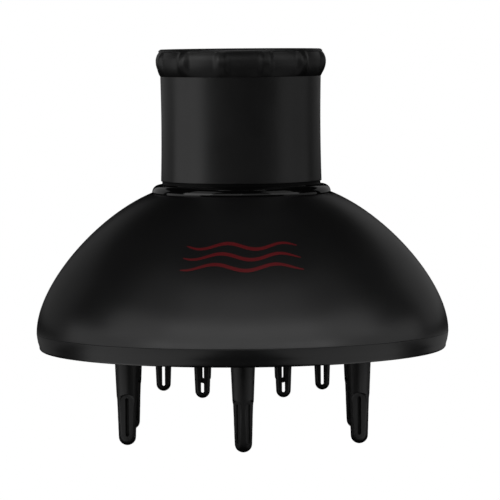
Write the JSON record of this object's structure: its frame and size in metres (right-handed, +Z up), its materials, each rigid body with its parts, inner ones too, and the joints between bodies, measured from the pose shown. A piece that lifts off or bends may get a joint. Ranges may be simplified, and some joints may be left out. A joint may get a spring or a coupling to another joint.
{
  "type": "dryer diffuser",
  "caption": "Bell-shaped diffuser for a hand-held hair dryer, with hollow slotted fingers under a dished air plate and a soft coupling on a turning neck.",
  "frame": {"origin": "on the diffuser's axis, level with the tips of the long fingers, on which it stands", "axes": "+Z up the neck towards the dryer; -Y through the long finger that faces the viewer"},
  "size_m": [0.1601, 0.1602, 0.1507],
  "materials": {
    "bell_plastic": "moulded black with a satin gloss",
    "bead_plastic": "polished black",
    "plate_plastic": "fine satin black",
    "finger_plastic": "smooth satin black",
    "inner_plastic": "moulded dark grey",
    "sleeve_rubber": "soft matte black",
    "grip_rubber": "soft matte black",
    "liner_rubber": "silicone, matte black",
    "seal_rubber": "silicone, dark red-brown",
    "steel": "zinc-plated spring steel"
  },
  "bodies": {
    "housing": {"bell_shell": "bell_plastic", "neck_bead": "bead_plastic", "rim_band": "bell_plastic", "front_plate": "plate_plastic", "air_baffle": "inner_plastic", "baffle_screws": "steel", "long_finger_1": "finger_plastic", "long_finger_2": "finger_plastic", "long_finger_3": "finger_plastic", "long_finger_4": "finger_plastic", "long_finger_5": "finger_plastic", "long_finger_6": "finger_plastic", "short_finger_1": "finger_plastic", "short_finger_2": "finger_plastic", "short_finger_3": "finger_plastic", "short_finger_4": "finger_plastic", "short_finger_5": "finger_plastic", "short_finger_6": "finger_plastic", "retaining_clip": "steel"},
    "swivel": {"swivel_ring": "inner_plastic", "seal_ring": "seal_rubber"},
    "coupling": {"adapter_sleeve": "sleeve_rubber", "grip_ring": "grip_rubber", "grip_liner": "liner_rubber"}
  },
  "joints": [
    {"name": "neck_swivel", "type": "hinge", "parent": "housing", "child": "swivel", "pos_m": [0, 0, 0.105], "axis": [0, 0, 1], "continuous": true},
    {"name": "sleeve_pull_off", "type": "slide", "parent": "swivel", "child": "coupling", "axis": [0, 0, 1], "range_m": [0, 0.04]}
  ]
}
